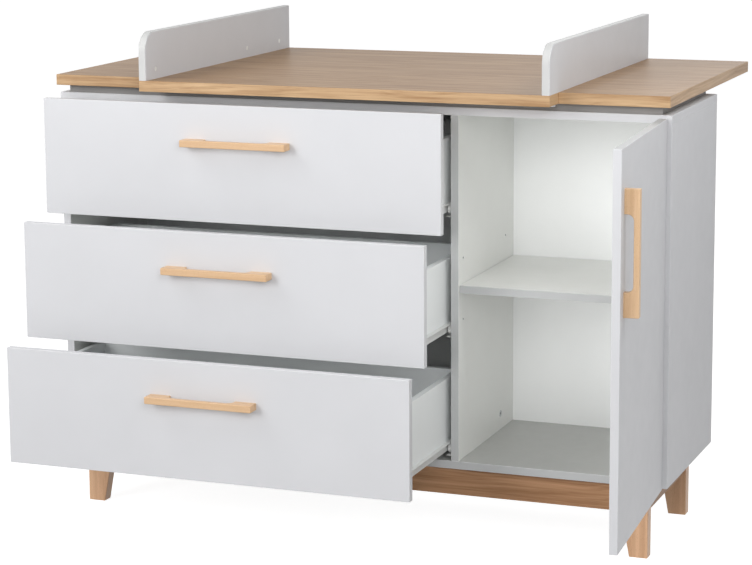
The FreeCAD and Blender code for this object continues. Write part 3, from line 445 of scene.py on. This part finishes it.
def oakMaterial(node, look):
    material, tree, shader, vector = newMaterial(node + "_decor", specular=oakSurface["specular"])
    low, high = turnedBox(node)
    rub = useGroup(tree, edgeRub, Vector=vector, Low=low, High=high, Width=oakSurface["rub"])
    grain = useGroup(tree, oakGrain, Vector=endsAlongY(tree, vector))
    wood = blendColor(tree, grain["Tone"], rgba(look["dark"]), rgba(look["light"]))
    pores = scaled(tree, grain["Pore"], oakSurface["poreShare"])
    pored = blendColor(tree, pores, wood, rgba(look["pore"]))
    worn = scaled(tree, rub["Edge"], oakSurface["rubShare"])
    color = blendColor(tree, worn, pored, rgba(look["light"]))
    if "upper" in look:   # painted shade: the face that looks up is multiplied darker than the banding round it, for the lesser light from above
        color = blendColor(tree, facing(tree, (0, 0, 1)), color, rgba(look["upper"]), "MULTIPLY")
    roughness = remap(tree, grain["Pore"], 0, 1, *look["gloss"])
    finishSurface(tree, shader, color, roughness, grain["Height"], look)
    return material


for finish, members in oakNodes.items():
    for member in members:
        dress(member, oakMaterial(member, oakLooks[finish]))
print("wood decor finished")


# solid beech: legs, handles and dowels
fleckShare = 0.35
beechLooks = {
    "leg": {"dark": (0.590, 0.336, 0.188), "light": (0.740, 0.464, 0.280),
            "fleck": (0.36, 0.18, 0.09),
            "gloss": (0.34, 0.46), "bump": 0.08 * mm, "relief": 0.35},
    "handle": {"dark": (0.605, 0.382, 0.208), "light": (0.725, 0.493, 0.298),
               "fleck": (0.46, 0.26, 0.13),
               "gloss": (0.32, 0.44), "bump": 0.06 * mm, "relief": 0.35},
    "raw": {"dark": (0.620, 0.430, 0.270), "light": (0.740, 0.560, 0.380),
            "fleck": (0.42, 0.26, 0.14),
            "gloss": (0.60, 0.75), "bump": 0.10 * mm, "relief": 0.35},
}
beechNodes = {   # with the axis that the grain runs along
    "leg": {f"{row}_{side}_leg": "Z" for row in ("front", "rear") for side in ("left", "right")},
    "handle": {"upper_drawer_handle": "X", "middle_drawer_handle": "X",
               "lower_drawer_handle": "X", "door_handle": "Z"},
    "raw": {"wooden_dowels": "Z"},
}


def beechMaterial(node, look, along):
    material, tree, shader, vector = newMaterial(node + "_beech", turned.get(node, 0.0))
    if along == "Z":
        vector = rotated(tree, vector, (0, 90, 0))
    grain = useGroup(tree, beechGrain, Vector=vector)
    wood = blendColor(tree, grain["Tone"], rgba(look["dark"]), rgba(look["light"]))
    flecks = scaled(tree, grain["Fleck"], fleckShare)
    color = blendColor(tree, flecks, wood, rgba(look["fleck"]))
    roughness = remap(tree, grain["Tone"], 0, 1, *look["gloss"])
    finishSurface(tree, shader, color, roughness, grain["Height"], look)
    return material


for finish, members in beechNodes.items():
    for member, along in members.items():
        dress(member, beechMaterial(member, beechLooks[finish], along))
print("beech finished")


# metal: runners, hinges and fasteners
metalWear = {"scuffShare": 0.4, "range": (0.2, 1.2)}
metalLooks = {   # lines: how fine the drawing marks are along X, Y and Z
    "runner": {"dark": (0.660, 0.665, 0.655), "light": (0.760, 0.765, 0.755), "metallic": 0.0,
               "lines": (4, 260, 260), "gloss": (0.30, 0.42), "bump": 0.03 * mm, "relief": 0.5},
    "zinc": {"dark": (0.520, 0.530, 0.545), "light": (0.700, 0.710, 0.725), "metallic": 1.0,
             "lines": (90, 900, 90), "gloss": (0.24, 0.38), "bump": 0.02 * mm, "relief": 0.5},
    "nickel": {"dark": (0.600, 0.595, 0.580), "light": (0.760, 0.755, 0.740), "metallic": 1.0,
               "lines": (120, 1200, 120), "gloss": (0.16, 0.28), "bump": 0.015 * mm,
               "relief": 0.5},
    "pale": {"dark": (0.840, 0.840, 0.830), "light": (0.920, 0.920, 0.910), "metallic": 0.25,
             "lines": (120, 900, 120), "gloss": (0.34, 0.46), "bump": 0.015 * mm, "relief": 0.5},
}


def metalMaterial(name, look):
    material, tree, shader, vector = newMaterial(name)
    shader.inputs["Metallic"].default_value = look["metallic"]
    metal = useGroup(tree, rolledMetal, Vector=vector, Lines=look["lines"])
    color = blendColor(tree, metal["Tone"], rgba(look["dark"]), rgba(look["light"]))
    scuffs = scaled(tree, metal["Scuff"], metalWear["scuffShare"])
    worn = mathStep(tree, "ADD", metal["Tone"], scuffs)
    roughness = remap(tree, worn, *metalWear["range"], *look["gloss"])
    finishSurface(tree, shader, color, roughness, metal["Height"], look)
    return material


runnerSteel = metalMaterial("coated_runner_steel", metalLooks["runner"])
zincSteel = metalMaterial("zinc_steel", metalLooks["zinc"])
nickelSteel = metalMaterial("nickel_steel", metalLooks["nickel"])
paleSteel = metalMaterial("pale_zinc_steel", metalLooks["pale"])
for member in ("left_cabinet_runners", "right_cabinet_runners"):
    dress(member, runnerSteel)
for member in ("hinge_arms", "hinge_links", "hinge_cups"):
    dress(member, nickelSteel)
for member in ("shelf_supports", "cam_fittings", "guard_fixings", "door_handle_screws"):
    dress(member, zincSteel)
for drawer in drawers:
    dress(drawer + "_drawer_runners", runnerSteel)
    dress(drawer + "_drawer_handle_screws", zincSteel)
print("metal finished")


# small hardware, turned in bmesh about +Z with the visible end at the top
def ringEdges(verts):   # each edge of a ring once
    return list(dict.fromkeys(edge for vert in verts for edge in vert.link_edges))


def extrudeLoop(part, edges, radius, height):
    made = bmesh.ops.extrude_edge_only(part, edges=edges)["geom"]
    verts = {item for item in made if isinstance(item, bmesh.types.BMVert)}
    for vert in verts:
        spot = vert.co.xy.normalized() * radius
        vert.co = (spot.x, spot.y, height)
    return [item for item in made
            if isinstance(item, bmesh.types.BMEdge) and verts.issuperset(item.verts)]


# the arms' half angle puts the twelve corners of the plus 30 degrees apart on the round
recess = {"armAngle": math.radians(15), "floorShare": 0.8}


def crossRecess(part, reach, depth, radius, height):   # a plus-shaped pocket in a flat round face
    bmesh.ops.create_grid(part, x_segments=3, y_segments=3, size=reach)
    corners = [face for face in part.faces
               if min(map(abs, face.calc_center_median().xy)) > reach / 3]
    bmesh.ops.delete(part, geom=corners, context="FACES")
    armHalf = reach * math.tan(recess["armAngle"])
    for vert in part.verts:
        across = [math.copysign(reach if abs(value) > reach / 2 else armHalf, value)
                  * recess["floorShare"] for value in vert.co.xy]
        vert.co = (across[0], across[1], height - depth)
    rim = [edge for edge in part.edges if edge.is_boundary]
    made = bmesh.ops.extrude_edge_only(part, edges=rim)["geom"]
    for item in made:
        if isinstance(item, bmesh.types.BMVert):
            item.co = (item.co.x / recess["floorShare"], item.co.y / recess["floorShare"], height)
    inner = [edge for edge in part.edges if edge.is_boundary]
    place = Matrix.Translation((0, 0, height)) @ Matrix.Rotation(recess["armAngle"], 4, "Z")
    ring = bmesh.ops.create_circle(part, segments=12, radius=radius, matrix=place)["verts"]
    outer = ringEdges(ring)
    bmesh.ops.bridge_loops(part, edges=inner + outer)
    bmesh.ops.subdivide_edges(part, edges=outer, cuts=2)
    loop = [edge for edge in part.edges if edge.is_boundary]
    for vert in {vert for edge in loop for vert in edge.verts}:
        spot = vert.co.xy.normalized() * radius
        vert.co = (spot.x, spot.y, height)
    return loop


roundSegments = 24
sharpEdge = math.radians(32)


def addTurned(mesh, place, shape):   # in mm: profile (radius, height), cross (reach, depth)
    part = bmesh.new()
    profile = [(radius * mm, height * mm) for radius, height in shape["profile"]]
    radius, height = profile[0]
    if "cross" in shape:
        reach, depth = (value * mm for value in shape["cross"])
        loop = crossRecess(part, reach, depth, radius, height)
    else:
        ring = bmesh.ops.create_circle(part, cap_ends=True, segments=roundSegments, radius=radius,
                                       matrix=Matrix.Translation((0, 0, height)))["verts"]
        loop = ringEdges(ring)
    for radius, height in profile[1:]:
        loop = extrudeLoop(part, loop, radius, height)
    bmesh.ops.edgeloop_fill(part, edges=loop)
    bmesh.ops.recalc_face_normals(part, faces=part.faces)
    single = bpy.data.meshes.new("part")
    part.to_mesh(single)
    part.free()
    single.transform(place)
    mesh.from_mesh(single)
    bpy.data.meshes.remove(single)


def seat(point, direction, door=False):   # a point in mm, and where its +Z points
    turn = Vector(direction).to_track_quat("Z", "Y").to_matrix().to_4x4()
    matrix = Matrix.Translation(Vector(point) * mm) @ turn
    return doorOpen @ matrix if door else matrix


def finishPiece(bm, name, body, material, replaced=None):
    mesh = bpy.data.meshes.new(name)
    bm.to_mesh(mesh)
    bm.free()
    mesh.polygons.foreach_set("use_smooth", [True] * len(mesh.polygons))
    mesh.set_sharp_from_angle(angle=sharpEdge)
    mesh.materials.append(material)
    piece = bpy.data.objects.new(name, mesh)
    bpy.context.scene.collection.objects.link(piece)
    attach(piece, body)
    if replaced:
        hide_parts(replaced)


# the seats below are in millimetres, with the door's as it stands when it is shut
drops = {"upper": 0.0, "middle": -242.0, "lower": -484.0}   # of each drawer, from the upper one

camLock = {
    "lock": {"profile": ((4.6, 0), (4.8, -0.5), (6.4, -0.5), (6.8, -0.1), (7.2, -0.1), (7.5, -0.4),
                         (7.5, -4.6), (2.6, -4.8), (2.6, -11.2), (7.5, -11.4), (7.5, -12.5)),
             "cross": (3.4, 2.6)},
    "bolt": {"profile": ((2.2, -3), (2.9, -3.6), (2.9, -5.4), (2.0, -6.2), (2.0, -9.0), (3.0, -9.6),
                         (3.0, -34), (2.4, -34.8), (3.0, -35.6), (2.4, -36.4), (3.0, -37.2),
                         (2.4, -38.0), (3.0, -38.8), (2.4, -39.6), (3.0, -40.4), (1.6, -43.6))},
    "middle": 8, "rows": (110, 270), "sideFace": 634, "dividerFaces": (208, 224),
    "underTop": 824, "overBase": 196, "inBase": 600, "baseFace": 146,
}


def makeCamLocks():
    top, foot = camLock["underTop"], camLock["overBase"]
    dividerLeft, dividerRight = camLock["dividerFaces"]
    front, rear = camLock["rows"]
    seats = []   # a point on the board's face, where the lock faces to, where its bolt runs to
    for row in (front, rear):
        for side in (-1, 1):
            seats.append(((side * camLock["sideFace"], row, top), (-side, 0, 0), (0, 0, 1)))
            seats.append(((side * camLock["inBase"], row, camLock["baseFace"]),
                          (0, 0, -1), (side, 0, 0)))
        seats.append(((dividerLeft, row, top), (-1, 0, 0), (0, 0, 1)))
    seats.append(((dividerLeft, front, foot), (-1, 0, 0), (0, 0, -1)))
    seats.append(((dividerRight, rear, foot), (1, 0, 0), (0, 0, -1)))
    bm = bmesh.new()
    for point, facesTo, boltAlong in seats:
        addTurned(bm, seat(point, facesTo), camLock["lock"])
        middle = Vector(point) - Vector(facesTo) * camLock["middle"]
        addTurned(bm, seat(middle, -Vector(boltAlong)), camLock["bolt"])
    finishPiece(bm, "cam_locks", "carcass", zincSteel, "cam_fittings")


guardFixing = {
    "nut": {"profile": ((3.5, -0.1), (4.4, 0), (4.8, -0.1), (5.0, -0.4), (5.0, -12)),
            "cross": (2.3, 1.6)},
    "bolt": {"profile": ((4.4, 0), (5.2, -0.2), (6.0, -1.2), (6.0, -4), (3.0, -4), (3.0, -33),
                         (2.5, -33.8), (3.0, -34.6), (2.5, -35.4), (3.0, -36.2), (2.5, -37.0),
                         (3.0, -37.8), (2.2, -40.8)),
             "cross": (3.2, 2.4)},
    "rows": (-28, 427, 606), "nutFace": 415, "nutLevel": 932, "boltAxis": 423, "boltHead": 886,
}


def makeGuardFixings():
    nuts = bmesh.new()
    bolts = bmesh.new()
    for row in guardFixing["rows"]:
        for side in (-1, 1):
            nut = (side * guardFixing["nutFace"], row, guardFixing["nutLevel"])
            addTurned(nuts, seat(nut, (-side, 0, 0)), guardFixing["nut"])
            head = (side * guardFixing["boltAxis"], row, guardFixing["boltHead"])
            addTurned(bolts, seat(head, (0, 0, -1)), guardFixing["bolt"])
    finishPiece(nuts, "guard_nuts", "carcass", paleSteel, "guard_fixings")
    finishPiece(bolts, "guard_bolts", "carcass", zincSteel)


handleScrew = {
    "screw": {"profile": ((2.7, 2.6), (3.3, 2.4), (3.9, 1.5), (4.0, 0.5), (3.7, 0), (2.0, 0),
                          (2.0, -17), (1.6, -17.8), (2.0, -18.6), (1.6, -19.4), (2.0, -20.2),
                          (1.6, -21.0), (2.0, -21.8), (1.6, -22.6), (2.0, -23.4), (1.2, -26)),
              "cross": (1.9, 1.3)},
    "half": 96, "frontInside": {"upper": -60, "middle": -157, "lower": -241},
    "drawerMiddle": (-216, 792), "doorMiddle": (251, -2, 683),
}


def makeHandleScrews():
    across, level = handleScrew["drawerMiddle"]
    for drawer, inside in handleScrew["frontInside"].items():
        bm = bmesh.new()
        for side in (-1, 1):
            point = (across + side * handleScrew["half"], inside, level + drops[drawer])
            addTurned(bm, seat(point, (0, 1, 0)), handleScrew["screw"])
        finishPiece(bm, drawer + "_handle_screws", drawer + "_drawer", zincSteel,
                    drawer + "_drawer_handle_screws")
    across, inside, level = handleScrew["doorMiddle"]
    bm = bmesh.new()
    for side in (-1, 1):
        point = (across, inside, level + side * handleScrew["half"])
        addTurned(bm, seat(point, (0, 1, 0), door=True), handleScrew["screw"])
    finishPiece(bm, "door_grip_screws", "door", zincSteel, "door_handle_screws")


hingeScrews = {
    "plate": {"profile": ((2.3, 1.4), (2.9, 1.1), (3.4, 0.5), (3.4, 0)), "cross": (1.7, 0.9)},
    "arm": {"profile": ((1.9, 0.9), (2.5, 0.7), (2.8, 0.3), (2.8, 0)), "cross": (1.4, 0.6)},
    "cup": {"profile": ((1.8, 0.8), (2.3, 0.6), (2.6, 0.2), (2.6, 0)), "cross": (1.3, 0.5)},
    "levels": (237, 779), "plateAt": (631, 38), "plateAside": 16.5,
    "armFace": 615.2, "armRows": (31, 49), "cupAt": (627, -1), "cupAside": 20.7,
}


def makeHingeScrews():
    bm = bmesh.new()
    for level in hingeScrews["levels"]:
        for side in (-1, 1):
            plate = (*hingeScrews["plateAt"], level + side * hingeScrews["plateAside"])
            addTurned(bm, seat(plate, (-1, 0, 0)), hingeScrews["plate"])
        for row in hingeScrews["armRows"]:
            arm = (hingeScrews["armFace"], row, level)
            addTurned(bm, seat(arm, (-1, 0, 0)), hingeScrews["arm"])
    finishPiece(bm, "hinge_plate_screws", "carcass", zincSteel)
    bm = bmesh.new()
    for level in hingeScrews["levels"]:
        for side in (-1, 1):
            cup = (*hingeScrews["cupAt"], level + side * hingeScrews["cupAside"])
            addTurned(bm, seat(cup, (0, 1, 0), door=True), hingeScrews["cup"])
    finishPiece(bm, "hinge_cup_screws", "door", zincSteel)


runnerScrew = {
    "screw": {"profile": ((2.1, 1.7), (2.8, 1.3), (3.2, 0.4), (3.2, 0)), "cross": (1.6, 0.9)},
    "rows": (40, 264), "level": 669, "faces": {-632.8: 1, 206.8: -1},   # with where each faces to
}


def makeRunnerScrews():
    bm = bmesh.new()
    for drop in drops.values():
        for row in runnerScrew["rows"]:
            for face, direction in runnerScrew["faces"].items():
                point = (face, row, runnerScrew["level"] + drop)
                addTurned(bm, seat(point, (direction, 0, 0)), runnerScrew["screw"])
    finishPiece(bm, "runner_screws", "carcass", zincSteel)


makeCamLocks()
makeGuardFixings()
makeHandleScrews()
makeHingeScrews()
makeRunnerScrews()
print("hardware made")


# floor, world, lamps and camera
studio = {"floorSize": 60.0, "floorColor": (0.50, 0.50, 0.50), "floorGlow": 0.90, "world": 0.25,
          "aim": (0, 0, 0.6)}


def seenDirectly(tree):   # 1 for what the camera sees, also in metal and through glass
    rays = addNode(tree, "ShaderNodeLightPath").outputs
    seen = mathStep(tree, "MAXIMUM", rays["Is Camera Ray"], rays["Is Glossy Ray"])
    return mathStep(tree, "MAXIMUM", seen, rays["Is Transmission Ray"])


def makeFloor():
    bm = bmesh.new()
    bmesh.ops.create_grid(bm, x_segments=1, y_segments=1, size=studio["floorSize"] / 2)
    mesh = bpy.data.meshes.new("floor")
    bm.to_mesh(mesh)
    bm.free()
    floor = bpy.data.objects.new("floor", mesh)
    bpy.context.scene.collection.objects.link(floor)
    material = bpy.data.materials.new("studio_floor")
    material.use_nodes = True
    tree = material.node_tree
    shader = tree.nodes["Principled BSDF"]
    shader.inputs["Base Color"].default_value = rgba(studio["floorColor"])
    shader.inputs["Roughness"].default_value = 1.0
    shader.inputs["Specular IOR Level"].default_value = 0.0
    shader.inputs["Emission Color"].default_value = rgba((1, 1, 1))
    glow = scaled(tree, seenDirectly(tree), studio["floorGlow"])
    feed(tree, shader.inputs["Emission Strength"], glow)
    mesh.materials.append(material)


def makeWorld():   # white where it is seen, and a dimmer light on the object
    world = bpy.data.worlds.new("studio")
    bpy.context.scene.world = world
    world.use_nodes = True
    tree = world.node_tree
    background = tree.nodes["Background"]
    background.inputs["Color"].default_value = rgba((1, 1, 1))
    strength = mathStep(tree, "MAXIMUM", seenDirectly(tree), studio["world"])
    feed(tree, background.inputs["Strength"], strength)


def addLight(name, power, place, away, reflects, **settings):   # away: the side it shines from
    data = bpy.data.lights.new(name, "AREA")
    for setting, value in settings.items():
        setattr(data, setting, value)
    data.energy = power
    light = bpy.data.objects.new(name, data)
    light.location = place
    light.rotation_euler = away.to_track_quat("Z", "Y").to_euler()
    light.visible_camera = False
    light.visible_glossy = reflects
    bpy.context.scene.collection.objects.link(light)


# degrees and metres: azimuth 0 is in front, 90 on the right; level 1 shows a colour as written
lamps = {
    "key": {"azimuth": -28, "elevation": 16, "distance": 5.0, "size": 2.6, "level": 0.43,
            "reflects": True},
    "keyRight": {"azimuth": 35, "elevation": 14, "distance": 5.0, "size": 3.0, "level": 0.16,
                 "reflects": True},
    "nearLeft": {"azimuth": -60, "elevation": 42, "distance": 2.0, "size": 1.0, "level": 0.28,
                 "reflects": False},
    "nearRight": {"azimuth": 80, "elevation": 44, "distance": 2.0, "size": 1.0, "level": 0.31,
                  "reflects": False},
    "nearFront": {"azimuth": 24, "elevation": 24, "distance": 2.0, "size": 1.0, "level": 0.22,
                  "reflects": False},
    "rear": {"azimuth": 180, "elevation": 35, "distance": 5.0, "size": 1.7, "level": 0.15,
             "reflects": True},
}


def makeLamps():
    for name, lamp in lamps.items():
        azimuth = math.radians(lamp["azimuth"])
        elevation = math.radians(lamp["elevation"])
        away = Vector((math.sin(azimuth) * math.cos(elevation),
                       -math.cos(azimuth) * math.cos(elevation), math.sin(elevation)))
        power = lamp["level"] * (math.pi * lamp["distance"]) ** 2
        place = Vector(studio["aim"]) + away * lamp["distance"]
        addLight(name, power, place, away, lamp["reflects"], shape="DISK", size=lamp["size"])


card = {"place": (0.43, 0.012, 0.50), "away": (0, -1, 0), "wide": 0.38, "tall": 0.62,
        "spread": math.radians(70), "power": 0.26}


def makeCard():   # a soft card in the opening of the cupboard, out of sight, that lifts its inside
    addLight("card", card["power"], card["place"], Vector(card["away"]), False, shape="RECTANGLE",
             size=card["wide"], size_y=card["tall"], spread=card["spread"])


shot = {"place": (1.72039, -4.34746, 1.43061), "yaw": 21.013, "pitch": -9.613, "roll": -0.365,
        "lens": 113.66, "sensor": 36.0, "shiftY": -0.0831}


def makeCamera():
    data = bpy.data.cameras.new("photo_view")
    data.lens = shot["lens"]
    data.sensor_width = shot["sensor"]
    data.shift_y = shot["shiftY"]
    camera = bpy.data.objects.new("photo_view", data)
    turn = Matrix.Rotation(math.radians(shot["yaw"]), 4, "Z")
    tilt = Matrix.Rotation(math.radians(90 + shot["pitch"]), 4, "X")   # 90 looks level
    roll = Matrix.Rotation(math.radians(shot["roll"]), 4, "Z")
    camera.matrix_world = Matrix.Translation(shot["place"]) @ turn @ tilt @ roll
    bpy.context.scene.collection.objects.link(camera)
    bpy.context.scene.camera = camera


makeFloor()
makeWorld()
makeLamps()
makeCard()
makeCamera()
bpy.context.scene.view_settings.view_transform = "Standard"
print("studio made")
